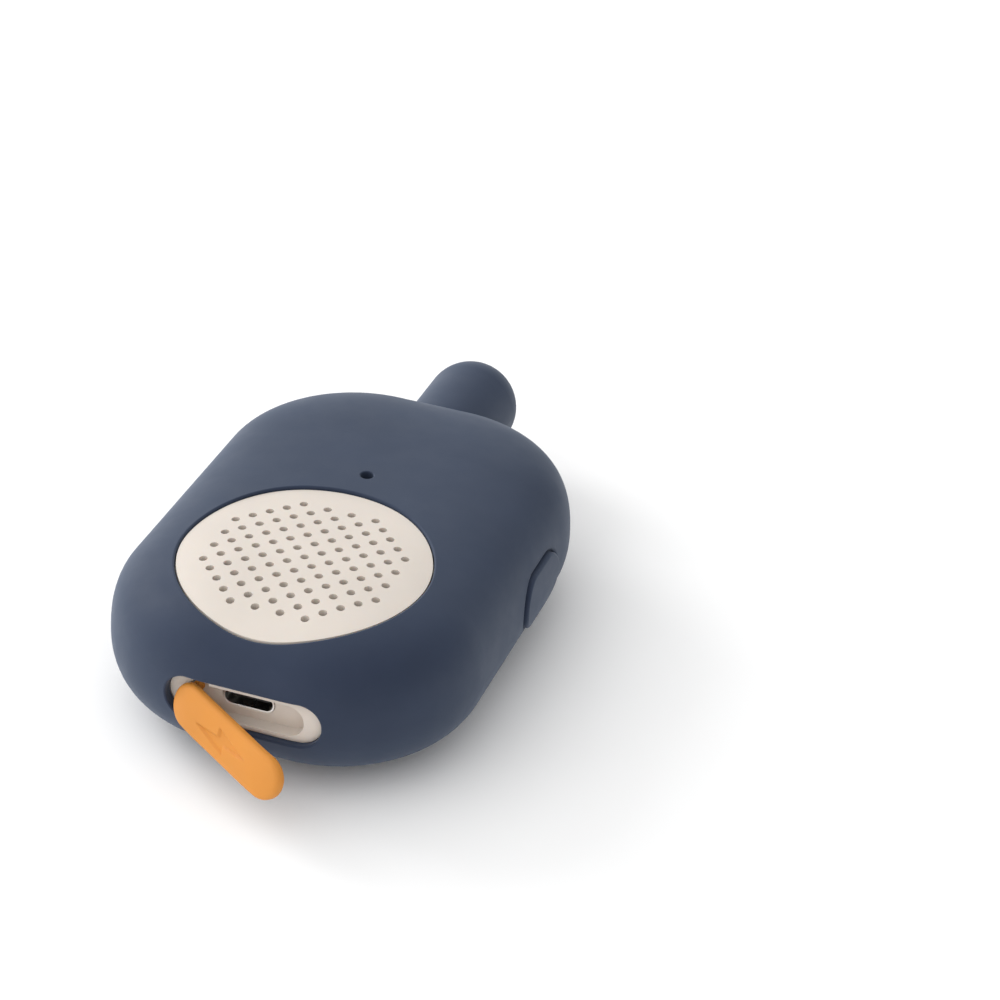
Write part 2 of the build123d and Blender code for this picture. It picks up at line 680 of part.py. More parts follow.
# ---------------------------------------------------------------- talk button on the side
talk_length = TALK_LENGTH - 2 * TALK_CLEARANCE
talk_height = TALK_HEIGHT - 2 * TALK_CLEARANCE
with BuildPart() as ptt_button:
    add(stadium_bar(TALK_PLANE, talk_length, talk_height, EQUATOR, FAR))
    add(pebble(-TALK_PROUD), mode=Mode.INTERSECT)
    add(pebble(TALK_THICKNESS - TALK_PROUD), mode=Mode.SUBTRACT)
    fillet(
        outer_rim(ptt_button.part, TALK_PLANE, talk_length, talk_height, body_form),
        TALK_RIM_ROUND,
    )
    add(
        stadium_bar(
            STEM_PLANE, STEM_LENGTH, STEM_HEIGHT, STEM_END_X, SIDE_X - TALK_THICKNESS / 2
        )
    )
save(ptt_button.part, "ptt_button")

plunger_end_x = STEM_END_X - 2 * GAP
switch_face_x = plunger_end_x - PLUNGER_SHOW
with BuildPart() as ptt_switch_body:
    add(
        block(
            (switch_face_x - TALK_SWITCH_DEPTH, TALK_Y - SWITCH_SIDE / 2, BOARD_SEAT),
            (switch_face_x, TALK_Y + SWITCH_SIDE / 2, BOARD_SEAT + 2 * TALK_SWITCH_CENTRE),
        )
    )
    with BuildSketch(STEM_PLANE.offset(switch_face_x - PLUNGER_WELL)):
        Circle(PLUNGER_RADIUS + 2 * GAP)
    extrude(amount=PLUNGER_WELL, mode=Mode.SUBTRACT)
save(ptt_switch_body.part, "ptt_switch_body")

with BuildPart() as ptt_switch_plunger:
    with BuildSketch(STEM_PLANE.offset(plunger_end_x - PLUNGER_LENGTH)):
        Circle(PLUNGER_RADIUS)
    extrude(amount=PLUNGER_LENGTH)
save(ptt_switch_plunger.part, "ptt_switch_plunger")

# ---------------------------------------------------------------- power button on the back
with BuildPart() as power_button:
    add(stadium_bar(POWER_PLANE, POWER_LENGTH, POWER_WIDTH, POWER_FACE_Z, POWER_FLANGE_Z))
    fillet(power_button.faces().sort_by(Axis.Z)[0].edges(), POWER_EDGE_ROUND)
    add(
        stadium_bar(
            POWER_PLANE,
            POWER_LENGTH + 2 * POWER_FLANGE_WIDTH,
            POWER_WIDTH + 2 * POWER_FLANGE_WIDTH,
            POWER_FLANGE_Z,
            POWER_FLANGE_Z + POWER_FLANGE_THICKNESS,
        )
    )
    add(ring((0, POWER_Y, POWER_FLANGE_Z), POWER_STEM_RADIUS, POWER_STEM_TOP - POWER_FLANGE_Z))
save(power_button.part, "power_button")

power_plunger_z = POWER_STEM_TOP + 2 * GAP
power_switch_z = power_plunger_z + POWER_PLUNGER_SHOW
with BuildPart() as power_switch_body:
    add(
        block(
            (-SWITCH_SIDE / 2, POWER_Y - SWITCH_SIDE / 2, power_switch_z),
            (SWITCH_SIDE / 2, POWER_Y + SWITCH_SIDE / 2, BOARD_BOTTOM - GAP),
        )
    )
    add(
        ring((0, POWER_Y, power_switch_z), PLUNGER_RADIUS + 2 * GAP, PLUNGER_WELL),
        mode=Mode.SUBTRACT,
    )
save(power_switch_body.part, "power_switch_body")
save(
    ring((0, POWER_Y, power_plunger_z), PLUNGER_RADIUS, POWER_PLUNGER_LENGTH),
    "power_switch_plunger",
)

# ---------------------------------------------------------------- charging port
with BuildPart() as port_bezel:
    add(
        stadium_bar(
            SLOT_PLANE, SLOT_LENGTH - 4 * GAP, SLOT_HEIGHT - 4 * GAP, -BEZEL_BACK_Y, FAR
        )
    )
    add(pebble(BEZEL_DEPTH), mode=Mode.INTERSECT)
    add(
        stadium_bar(SLOT_PLANE, POCKET_LENGTH, POCKET_HEIGHT, -POCKET_FLOOR_Y, FAR),
        mode=Mode.SUBTRACT,
    )
    add(
        stadium_bar(
            PORT_PLANE, PORT_WIDTH + 4 * GAP, PORT_HEIGHT + 2 * GAP, 0, PORT_WALL - POCKET_FLOOR_Y
        ),
        mode=Mode.SUBTRACT,
    )
    # the rim steps down under the flap's hinged end
    with BuildSketch(SLOT_PLANE.offset(-BEZEL_RELIEF_Y)):
        with Locations((BEZEL_RELIEF_X - SLOT_LENGTH / 2, 0)):
            Rectangle(SLOT_LENGTH, 2 * SLOT_HEIGHT)
    extrude(amount=FAR, mode=Mode.SUBTRACT)
    with BuildSketch(SLOT_PLANE.offset(-BEZEL_BACK_Y)):
        with Locations((ANCHOR_X, ANCHOR_RISE)):
            Circle(ANCHOR_RADIUS + GAP)
    extrude(amount=FAR, mode=Mode.SUBTRACT)
save(port_bezel.part, "port_bezel")

with BuildPart() as usb_port:
    add(stadium_bar(PORT_PLANE, PORT_WIDTH, PORT_HEIGHT, PORT_BACK, -PORT_MOUTH_Y))
    add(
        stadium_bar(
            PORT_PLANE,
            PORT_WIDTH - 2 * PORT_WALL,
            PORT_HEIGHT - 2 * PORT_WALL,
            PORT_BACK + PORT_BACK_WALL,
            -PORT_MOUTH_Y,
        ),
        mode=Mode.SUBTRACT,
    )
save(usb_port.part, "usb_port")

with BuildPart() as usb_tongue:
    with BuildSketch(PORT_PLANE.offset(PORT_BACK + PORT_BACK_WALL + GAP)):
        Rectangle(TONGUE_WIDTH, TONGUE_THICKNESS)
    extrude(amount=TONGUE_LENGTH)
save(usb_tongue.part, "usb_tongue")

# ---------------------------------------------------------------- flap over the port
flap_length = SLOT_LENGTH - 2 * FLAP_CLEARANCE
flap_height = SLOT_HEIGHT - 2 * FLAP_CLEARANCE
with BuildPart() as flap_lip:
    add(stadium_bar(SLOT_PLANE, flap_length, flap_height, CORNER_Y, FAR))
    add(pebble(-FLAP_PROUD), mode=Mode.INTERSECT)
    add(pebble(FLAP_LIP_DEPTH), mode=Mode.SUBTRACT)

with BuildPart() as flap_plug:
    add(
        stadium_bar(
            SLOT_PLANE, flap_length - 2 * FLAP_STEP, flap_height - 2 * FLAP_STEP, CORNER_Y, FAR
        )
    )
    add(pebble(FLAP_LIP_DEPTH), mode=Mode.INTERSECT)
    add(pebble(BEZEL_DEPTH - GAP), mode=Mode.SUBTRACT)

with BuildPart() as closed_flap:
    add(flap_lip.part)
    add(flap_plug.part)

with BuildPart() as usb_flap:
    add(open_flap(closed_flap.part))
save(usb_flap.part, "usb_flap")

# the tether leaves the flap's inner face and the anchor holds its other end in the bezel
tether_front_y = -BODY_LENGTH / 2 + BEZEL_DEPTH + TETHER_SINK
with BuildPart() as closed_tether:
    add(
        block(
            (TETHER_X - TETHER_WIDTH / 2, tether_front_y, SLOT_Z - TETHER_HEIGHT / 2),
            (
                TETHER_X + TETHER_WIDTH / 2,
                tether_front_y + TETHER_THICKNESS,
                SLOT_Z + TETHER_HEIGHT / 2,
            ),
        )
    )
    fillet(closed_tether.edges().filter_by(Axis.Y), TETHER_CORNER)

with BuildPart() as flap_tether:
    add(open_flap(closed_tether.part))
save(flap_tether.part, "flap_tether")

anchor_plane = SLOT_PLANE.offset(-BEZEL_BACK_Y - ANCHOR_HEAD_HEIGHT)
anchor_length = BEZEL_BACK_Y - POCKET_FLOOR_Y + ANCHOR_HEAD_HEIGHT + ANCHOR_SHOW
with BuildPart() as flap_anchor:
    with BuildSketch(anchor_plane):
        with Locations((ANCHOR_X, ANCHOR_RISE)):
            Circle(ANCHOR_HEAD_RADIUS)
    extrude(amount=ANCHOR_HEAD_HEIGHT - GAP)
    with BuildSketch(anchor_plane):
        with Locations((ANCHOR_X, ANCHOR_RISE)):
            Circle(ANCHOR_RADIUS)
    extrude(amount=anchor_length)
save(flap_anchor.part, "flap_anchor")

# ---------------------------------------------------------------- microphone
boot_top = BODY_TOP - SHELL_INSIDE - GAP
boot_place = (0, MIC_Y, boot_top - MIC_BOOT_HEIGHT)
mic_bottom = boot_top - MIC_BOOT_HEIGHT + MIC_BOOT_WALL
save(ring((0, MIC_Y, mic_bottom), MIC_RADIUS, MIC_HEIGHT), "microphone")
with BuildPart() as mic_boot:
    add(ring(boot_place, MIC_BOOT_RADIUS, MIC_BOOT_HEIGHT))
    add(
        ring(boot_place, MIC_RADIUS + GAP, MIC_BOOT_WALL + MIC_HEIGHT + GAP),
        mode=Mode.SUBTRACT,
    )
    add(ring(boot_place, MIC_HOLE_RADIUS, MIC_BOOT_HEIGHT), mode=Mode.SUBTRACT)
save(mic_boot.part, "mic_boot")
with BuildPart() as mic_leads:
    for x in (-MIC_LEAD_X, MIC_LEAD_X):
        add(ring((x, MIC_Y, BOARD_SEAT), THIN_WIRE_RADIUS, mic_bottom - GAP - BOARD_SEAT))
save(mic_leads.part, "mic_leads")

# ---------------------------------------------------------------- battery
battery_low = (-BATTERY_SIZE[0] / 2, BATTERY_Y - BATTERY_SIZE[1] / 2, BATTERY_BOTTOM)
battery_high = tuple(a + b for a, b in zip(battery_low, BATTERY_SIZE))
with BuildPart() as battery:
    add(block(battery_low, battery_high))
    fillet(battery.edges().filter_by(Axis.Y), BATTERY_EDGE_ROUND)
    fillet(battery.edges().filter_by(Axis.Z), BATTERY_CORNER_ROUND)
save(battery.part, "battery")
save(
    block(
        (
            battery_low[0] + PAD_INSET,
            battery_low[1] + PAD_INSET,
            BATTERY_BOTTOM - PAD_THICKNESS - GAP,
        ),
        (battery_high[0] - PAD_INSET, battery_high[1] - PAD_INSET, BATTERY_BOTTOM - GAP),
    ),
    "battery_pad",
)
socket_y = battery_high[1] + SOCKET_AWAY
with BuildPart() as battery_socket:
    add(
        block(
            (-SOCKET_WIDTH / 2, socket_y, BOARD_BOTTOM - SOCKET_HEIGHT),
            (SOCKET_WIDTH / 2, socket_y + SOCKET_DEPTH, BOARD_BOTTOM - GAP),
        )
    )
save(battery_socket.part, "battery_socket")

battery_lead_z = (BATTERY_BOTTOM + battery_high[2]) / 2 + THICK_WIRE_RADIUS
with BuildPart() as battery_leads:
    for x in (-SOCKET_PIN_X, SOCKET_PIN_X):
        add(
            wire(
                [
                    (x * BATTERY_LEAD_SPLAY, battery_high[1] + GAP, battery_lead_z),
                    (
                        x * (1 + BATTERY_LEAD_SPLAY) / 2,
                        (battery_high[1] + socket_y) / 2,
                        battery_lead_z + BATTERY_LEAD_RISE,
                    ),
                    (x, socket_y - BATTERY_LEAD_GAP, BOARD_BOTTOM - SOCKET_HEIGHT / 2),
                ],
                THICK_WIRE_RADIUS,
            )
        )
save(battery_leads.part, "battery_leads")

# ---------------------------------------------------------------- speaker wires
basket_edge_y = GRILLE_Y + YOKE_RADIUS + SPEAKER_LEAD_START
with BuildPart() as speaker_leads:
    for x in (-SPEAKER_LEAD_X, SPEAKER_LEAD_X):
        add(
            wire(
                [
                    (x, basket_edge_y, yoke_top + BASKET_WALL),
                    (x, basket_edge_y + SPEAKER_LEAD_REACH * SPEAKER_LEAD_BEND, yoke_top - GAP),
                    (x, basket_edge_y + SPEAKER_LEAD_REACH, BOARD_SEAT + 2 * GAP),
                ],
                THIN_WIRE_RADIUS,
            )
        )
save(speaker_leads.part, "speaker_leads")

# ---------------------------------------------------------------- antenna
with BuildPart() as antenna_tube:
    add(rod_with_round_tip(TUBE_RADIUS, TUBE_FLANGE_Y))
    with BuildSketch(ANTENNA_PLANE.offset(TUBE_FLANGE_Y)):
        Circle(TUBE_FLANGE_RADIUS)
    extrude(amount=TUBE_FLANGE_THICKNESS)
    add(rod_with_round_tip(TUBE_RADIUS - TUBE_WALL, TUBE_FLANGE_Y - GAP), mode=Mode.SUBTRACT)
save(antenna_tube.part, "antenna_tube")

with BuildPart() as antenna_coil:
    with BuildLine() as coil_path:
        Helix(
            pitch=AERIAL_PITCH,
            height=AERIAL_LENGTH,
            radius=AERIAL_RADIUS,
            center=(0, AERIAL_START_Y, ANTENNA_Z),
            direction=(0, 1, 0),
        )
    with BuildSketch(Plane(origin=coil_path.line @ 0, z_dir=coil_path.line % 0)):
        Circle(AERIAL_WIRE_RADIUS)
    sweep(is_frenet=True)
save(antenna_coil.part, "antenna_coil")

with BuildPart() as antenna_lead:
    add(
        wire(
            [
                (0, AERIAL_LEAD_START_Y, BOARD_SEAT + THIN_WIRE_RADIUS),
                (0, TUBE_FLANGE_Y, ANTENNA_Z),
                (AERIAL_RADIUS * AERIAL_LEAD_END, AERIAL_START_Y - AERIAL_LEAD_GAP, ANTENNA_Z),
            ],
            THIN_WIRE_RADIUS,
        )
    )
save(antenna_lead.part, "antenna_lead")
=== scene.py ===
"""Looks of the toy walkie talkie: a finish for every CAD piece, and the soft parts as meshes."""

import json
import math

import bpy
import numpy as np
from mathutils import Matrix, Vector
from mathutils.bvhtree import BVHTree


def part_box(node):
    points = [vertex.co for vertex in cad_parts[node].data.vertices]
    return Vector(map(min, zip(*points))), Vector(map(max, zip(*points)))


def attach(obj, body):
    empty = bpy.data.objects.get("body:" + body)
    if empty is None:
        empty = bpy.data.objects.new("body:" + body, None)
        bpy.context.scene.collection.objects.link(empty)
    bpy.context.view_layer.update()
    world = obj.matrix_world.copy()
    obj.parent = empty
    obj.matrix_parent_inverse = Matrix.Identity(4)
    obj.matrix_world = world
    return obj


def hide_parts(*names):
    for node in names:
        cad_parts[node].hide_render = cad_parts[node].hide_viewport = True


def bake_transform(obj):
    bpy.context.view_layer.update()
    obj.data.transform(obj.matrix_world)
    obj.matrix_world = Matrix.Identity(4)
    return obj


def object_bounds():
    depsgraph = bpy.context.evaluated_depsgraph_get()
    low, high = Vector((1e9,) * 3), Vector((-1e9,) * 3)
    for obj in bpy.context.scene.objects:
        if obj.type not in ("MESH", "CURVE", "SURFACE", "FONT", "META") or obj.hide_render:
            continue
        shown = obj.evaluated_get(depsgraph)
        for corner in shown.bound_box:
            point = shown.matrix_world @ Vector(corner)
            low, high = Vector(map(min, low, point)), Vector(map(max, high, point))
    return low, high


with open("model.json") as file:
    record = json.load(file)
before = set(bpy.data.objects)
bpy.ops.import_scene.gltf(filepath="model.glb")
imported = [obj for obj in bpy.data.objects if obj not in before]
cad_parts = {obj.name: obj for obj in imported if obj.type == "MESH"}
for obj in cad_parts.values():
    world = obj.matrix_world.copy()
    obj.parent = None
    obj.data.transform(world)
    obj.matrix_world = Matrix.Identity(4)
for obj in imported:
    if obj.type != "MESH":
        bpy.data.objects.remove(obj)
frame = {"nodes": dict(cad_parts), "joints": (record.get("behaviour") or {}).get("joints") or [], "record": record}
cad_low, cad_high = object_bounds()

MM = 0.001
TAU = 2 * math.pi
QUARTER = math.pi / 2
WHITE = (1, 1, 1, 1)

# ---------------------------------------------------------------- finishes
# colour, roughness, grain size in mm, grain height in mm, colour variation, and what else makes the finish, such
# as the navy's painted sheen colour at grazing angles
FINISHES = {
    # the navy's lighter edge colour is painted sheen: it lightens the silicone where its surface turns away from
    # the eye
    "navy_silicone": dict(colour=(0.0210, 0.0312, 0.0600), rough=0.6, grain=0.35, height=0.02, vary=0.08,
                          velvet=0.06, shine=0.2, painted_sheen=(0.085, 0.11, 0.16)),
    "cream_plastic": dict(colour=(0.655, 0.595, 0.535), rough=0.5, grain=0.5, height=0.012, vary=0.03,
                          soft=0.12),
    "orange_silicone": dict(colour=(0.60, 0.235, 0.035), rough=0.55, grain=0.4, height=0.018, vary=0.06,
                            velvet=0.25, soft=0.10),
    "peach_plastic": dict(colour=(0.80, 0.36, 0.17), rough=0.45, grain=0.5, height=0.012, vary=0.05,
                          soft=0.10),
    "mesh_cloth": dict(colour=(0.055, 0.035, 0.028), rough=0.9, grain=0.3, height=0.08, vary=0.3),
    "black_foam": dict(colour=(0.03, 0.03, 0.03), rough=0.95, grain=0.4, height=0.1, vary=0.3),
    "black_rubber": dict(colour=(0.02, 0.02, 0.021), rough=0.7, grain=0.5, height=0.03, vary=0.2),
    "paper_cone": dict(colour=(0.06, 0.055, 0.05), rough=0.9, grain=0.6, height=0.05, vary=0.3),
    "zinc_steel": dict(colour=(0.62, 0.62, 0.60), rough=0.35, grain=0.8, height=0.01, vary=0.06, metal=1.0),
    "tinned_can": dict(colour=(0.72, 0.71, 0.69), rough=0.28, grain=1.2, height=0.01, vary=0.06, metal=1.0),
    "ferrite": dict(colour=(0.08, 0.08, 0.085), rough=0.55, grain=0.5, height=0.02, vary=0.15, metal=0.4),
    "copper_wire": dict(colour=(0.72, 0.35, 0.18), rough=0.3, grain=0.3, height=0.01, vary=0.1, metal=1.0),
    "green_board": dict(colour=(0.02, 0.16, 0.07), rough=0.35, grain=1.0, height=0.02, vary=0.2),
    "chip_black": dict(colour=(0.02, 0.02, 0.022), rough=0.5, grain=0.25, height=0.02, vary=0.2),
    "ceramic_tan": dict(colour=(0.45, 0.33, 0.22), rough=0.4, grain=0.3, height=0.01, vary=0.1),
    "white_plastic": dict(colour=(0.80, 0.80, 0.78), rough=0.45, grain=0.6, height=0.01, vary=0.03,
                          soft=0.08),
    "battery_wrap": dict(colour=(0.35, 0.38, 0.42), rough=0.35, grain=2.0, height=0.03, vary=0.08,
                         metal=0.5),
    "red_wire": dict(colour=(0.55, 0.03, 0.03), rough=0.45, grain=0.5, height=0.01, vary=0.1),
}
CLOUD_SIZE = 14.0  # mm, of the patches in which the colour wanders
CLOUD_DETAIL = 3
WANDER_SIZE = 5.0  # mm, of the patches in which the roughness wanders
WANDER_DETAIL = 2
WANDER_SWING = 0.05
GRAIN_DETAIL = 4
NOISE_LOW, NOISE_HIGH = 0.3, 0.7  # nearly all of a noise lies between these
BUMP_STRENGTH = 0.5
# how far in from the grazing edges the painted sheen reaches
PAINTED_SHEEN_BLEND = 0.25
COOL_SHEEN = (0.75, 0.85, 1.0, 1)
SHEEN_ROUGHNESS = 0.5
SCATTER_COLOURS = (1.0, 0.6, 0.35)  # how far red, green and blue light spread, next to each other
SCATTER_REACH = 1.2 * MM


def finish_material(name, colour, rough, grain, height, vary, metal=0.0, velvet=0.0, soft=0.0, shine=0.35,
                    painted_sheen=None):
    """A procedural finish: clouded colour, a roughness that wanders, a fine grain raised by a bump, and, where
    given, a painted sheen that lightens the colour at grazing angles.
    """
    material = bpy.data.materials.new(name)
    material.use_nodes = True
    tree = material.node_tree
    shader = tree.nodes["Principled BSDF"]
    place = tree.nodes.new("ShaderNodeTexCoord")

    def noise(size, detail):
        node = tree.nodes.new("ShaderNodeTexNoise")
        node.inputs["Scale"].default_value = 1 / (size * MM)
        node.inputs["Detail"].default_value = detail
        tree.links.new(place.outputs["Object"], node.inputs["Vector"])
        return node.outputs["Fac"]

    def spread(factor, low, high):
        node = tree.nodes.new("ShaderNodeMapRange")
        node.inputs["From Min"].default_value = NOISE_LOW
        node.inputs["From Max"].default_value = NOISE_HIGH
        node.inputs["To Min"].default_value = low
        node.inputs["To Max"].default_value = high
        tree.links.new(factor, node.inputs["Value"])
        return node.outputs["Result"]

    def mixed(factor, first, second):
        node = tree.nodes.new("ShaderNodeMix")
        node.data_type = "RGBA"
        tree.links.new(factor, node.inputs["Factor"])
        for socket, value in (("A", first), ("B", second)):
            port = next(i for i in node.inputs if i.name == socket and i.type == "RGBA")
            if isinstance(value, tuple):
                port.default_value = (*value, 1)
            else:
                tree.links.new(value, port)
        return next(o for o in node.outputs if o.type == "RGBA")

    darker = tuple(c * (1 - vary) for c in colour)
    lighter = tuple(min(1, c * (1 + vary)) for c in colour)
    tint = mixed(spread(noise(CLOUD_SIZE, CLOUD_DETAIL), 0, 1), darker, lighter)
    # painted sheen: the colour is mixed towards a lighter one where the surface turns away from the eye
    if painted_sheen:
        painted_sheen_mask = tree.nodes.new("ShaderNodeLayerWeight")
        painted_sheen_mask.inputs["Blend"].default_value = PAINTED_SHEEN_BLEND
        tint = mixed(painted_sheen_mask.outputs["Facing"], tint, painted_sheen)
    tree.links.new(tint, shader.inputs["Base Color"])
    roughness = spread(noise(WANDER_SIZE, WANDER_DETAIL), rough - WANDER_SWING, rough + WANDER_SWING)
    tree.links.new(roughness, shader.inputs["Roughness"])
    bump = tree.nodes.new("ShaderNodeBump")
    bump.inputs["Strength"].default_value = BUMP_STRENGTH
    bump.inputs["Distance"].default_value = height * MM
    tree.links.new(noise(grain, GRAIN_DETAIL), bump.inputs["Height"])
    tree.links.new(bump.outputs["Normal"], shader.inputs["Normal"])
    shader.inputs["Metallic"].default_value = metal
    shader.inputs["Specular IOR Level"].default_value = shine
    if velvet:
        shader.inputs["Sheen Weight"].default_value = velvet
        shader.inputs["Sheen Roughness"].default_value = SHEEN_ROUGHNESS
        shader.inputs["Sheen Tint"].default_value = COOL_SHEEN if painted_sheen else (*colour, 1)
    if soft:
        shader.inputs["Subsurface Weight"].default_value = soft
        shader.inputs["Subsurface Radius"].default_value = SCATTER_COLOURS
        shader.inputs["Subsurface Scale"].default_value = SCATTER_REACH
    return material


finishes = {name: finish_material(name, **look) for name, look in FINISHES.items()}
for part in frame["record"]["subparts"]:
    node = frame["nodes"][part["node"]]
    node.data.materials.clear()
    node.data.materials.append(finishes[part["material_slot"]])


# ---------------------------------------------------------------- mesh helpers
def new_piece(name, points, faces, slot):
    """A smooth-shaded mesh piece in the row frame with one of the finishes."""
    mesh = bpy.data.meshes.new(name)
    mesh.from_pydata([tuple(p) for p in points], [], faces)
    mesh.validate()
    mesh.update()
    mesh.polygons.foreach_set("use_smooth", [True] * len(mesh.polygons))
    piece = bpy.data.objects.new(name, mesh)
    bpy.context.scene.collection.objects.link(piece)
    mesh.materials.append(finishes[slot])
    return piece


def loops_to_faces(rows, count, closed=True):
    """Quads between neighbouring loops of count points; closed also joins the last loop to the first."""
    faces = []
    for i in range(rows if closed else rows - 1):
        a, b = i * count, ((i + 1) % rows) * count
        for j in range(count):
            k = (j + 1) % count
            faces.append((a + j, a + k, b + k, b + j))
    return faces


def smoothstep(low, high, value):
    """0 below low, 1 above high, and a soft rise between them."""
    t = min(1, max(0, (value - low) / (high - low)))
    return t * t * (3 - 2 * t)


def stadium_outline(length, height, count):
    """Evenly spaced (foot, direction) pairs round a stadium: the foot lies on its middle line."""
    half, radius = (length - height) / 2, height / 2
    straight, arc = 2 * half, math.pi * radius
    pairs = []
    for i in range(count):
        s = i / count * 2 * (straight + arc)
        if s < straight:
            pairs.append(((half - s, 0), (0, 1)))
        elif s < straight + arc:
            turn = QUARTER + (s - straight) / radius
            pairs.append(((-half, 0), (math.cos(turn), math.sin(turn))))
        elif s < 2 * straight + arc:
            pairs.append(((-half + s - straight - arc, 0), (0, -1)))
        else:
            turn = -QUARTER + (s - 2 * straight - arc) / radius
            pairs.append(((half, 0), (math.cos(turn), math.sin(turn))))
    return pairs


def outline_distance(point, corners):
    """Signed distance from a closed polygon: negative inside it."""
    nearest, inside = math.inf, False
    for (ax, ay), (bx, by) in zip(corners, corners[1:] + corners[:1]):
        ex, ey, px, py = bx - ax, by - ay, point[0] - ax, point[1] - ay
        t = min(1, max(0, (px * ex + py * ey) / (ex * ex + ey * ey)))
        nearest = min(nearest, math.hypot(px - t * ex, py - t * ey))
        if (ay > point[1]) != (by > point[1]) and point[0] < ax + (point[1] - ay) / (by - ay) * ex:
            inside = not inside
    return -nearest if inside else nearest


def turned_about(joint, degrees):
    """The move that turns a body about its joint's axis."""
    pivot, axis = Vector(joint["pos_m"]), Vector(joint["axis"]).normalized()
    turn = Matrix.Rotation(math.radians(degrees), 4, axis)
    return Matrix.Translation(pivot) @ turn @ Matrix.Translation(-pivot)


def surface_tree(node, matrix=Matrix.Identity(4)):
    """A CAD node's surface, for finding points on it, after an optional move."""
    mesh = frame["nodes"][node].data
    return BVHTree.FromPolygons(
        [matrix @ v.co for v in mesh.vertices], [tuple(p.vertices) for p in mesh.polygons]
    )


# ---------------------------------------------------------------- the charging flap
# it is shaped in its shut pose, where its outline faces straight along Y, and then turned open
FLAP_AROUND = 300  # points round the outline
FLAP_ROUND = 0.75 * MM  # of the outer face's edge
FLAP_PLUG_IN = 0.55 * MM  # the inner face is this much smaller all round
FLAP_THICKNESS = 1.70 * MM
FLAP_PILLOW = 0.10 * MM  # how far the outer face's middle swells
FLAP_FACE_DEPTH = FLAP_ROUND / 2  # what lies deeper isn't swollen or marked
FACE_RINGS = 22  # from the middle of the outer face to its outline, less those on its rounded edge
FACE_RINGS_CLEAR = 1.02 * FLAP_ROUND
ROUND_STEPS = 8
PLUG_STEPS = 5
BACK_RINGS = 6
BOLT_DEPTH = 0.38 * MM
BOLT_EDGE = 0.12 * MM  # half the width of the bolt's sloping edge
BOLT = [(5.9, 0.5), (-1.1, 1.8), (-0.75, 0.4), (-5.9, -0.5), (1.1, -1.8), (0.75, -0.4)]  # corners, in mm
FIT_ALONG, FIT_ACROSS = 41, 11  # rays that find the CAD face
FIT_ALONG_SHARE, FIT_ACROSS_SHARE = 0.96, 0.92  # of the face's length and height
FIT_FACING = 0.5  # a ray that meets a steeper wall is left out
POWERS_ALONG, POWERS_ACROSS = 7, 3

hinge = next(j for j in frame["joints"] if j["name"] == "flap_hinge")
shut = turned_about(hinge, hinge["range_deg"][0])
opened = shut.inverted()
flap_tree = surface_tree("usb_flap", shut)
shut_points = [shut @ v.co for v in frame["nodes"]["usb_flap"].data.vertices]
flap_low, flap_high = (Vector([pick(p[i] for p in shut_points) for i in range(3)]) for pick in (min, max))
flap_middle = (flap_low + flap_high) / 2
flap_length, flap_height = flap_high.x - flap_low.x, flap_high.z - flap_low.z
bolt = [(x * MM, z * MM) for x, z in BOLT]


def powers(x, z):
    """Terms of a smooth surface over the flap's outline, in powers of the place along and across it."""
    along, across = (x - flap_middle.x) / flap_length, (z - flap_middle.z) / flap_height
    return [along ** i * across ** j for i in range(POWERS_ALONG) for j in range(POWERS_ACROSS)]


def fitted_face():
    """The shut flap's outer face as one smooth surface, so that the slab's rim needs no ray of its own."""
    terms, depths = [], []
    for i in range(FIT_ALONG):
        for j in range(FIT_ACROSS):
            x = flap_middle.x + (i / (FIT_ALONG - 1) - 0.5) * FIT_ALONG_SHARE * flap_length
            z = flap_middle.z + (j / (FIT_ACROSS - 1) - 0.5) * FIT_ACROSS_SHARE * flap_height
            hit, normal = flap_tree.ray_cast(Vector((x, -1, z)), Vector((0, 1, 0)))[:2]
            if hit and abs(normal.y) > FIT_FACING:
                terms.append(powers(x, z))
                depths.append(hit.y)
    return np.linalg.lstsq(np.array(terms), np.array(depths), rcond=None)[0]


def flap_section():
    """(inset from the outline, depth from the outer face), from the outer face's middle to the inner's."""
    half = flap_height / 2
    insets = [half * (1 - i / FACE_RINGS) for i in range(FACE_RINGS)]
    rows = [(inset, 0.0) for inset in insets if inset > FACE_RINGS_CLEAR]
    for i in range(ROUND_STEPS + 1):
        turn = i / ROUND_STEPS * QUARTER
        rows.append((FLAP_ROUND * (1 - math.sin(turn)), FLAP_ROUND * (1 - math.cos(turn))))
    lower_start = FLAP_THICKNESS - FLAP_PLUG_IN
    rows.append((0.0, (FLAP_ROUND + lower_start) / 2))
    for i in range(PLUG_STEPS + 1):
        turn = i / PLUG_STEPS * QUARTER
        rows.append((FLAP_PLUG_IN * (1 - math.cos(turn)), lower_start + FLAP_PLUG_IN * math.sin(turn)))
    for i in range(1, BACK_RINGS + 1):
        rows.append((FLAP_PLUG_IN + (half - FLAP_PLUG_IN) * i / BACK_RINGS, FLAP_THICKNESS))
    return rows


def flap_point(face, foot, out, inset, depth):
    """A place on the shut flap, with the outer face swollen a little and the bolt pressed into it."""
    reach = flap_height / 2 - inset
    x = flap_middle.x + foot[0] + out[0] * reach
    z = flap_middle.z + foot[1] + out[1] * reach
    y = float(np.dot(face, powers(x, z)))
    if depth < FLAP_FACE_DEPTH:
        y -= FLAP_PILLOW * smoothstep(0, flap_height / 2, inset)
        if inset > FLAP_ROUND:
            mark = outline_distance((x - flap_middle.x, z - flap_middle.z), bolt)
            y += BOLT_DEPTH * (1 - smoothstep(-BOLT_EDGE, BOLT_EDGE, mark))
    return Vector((x, y + depth, z))


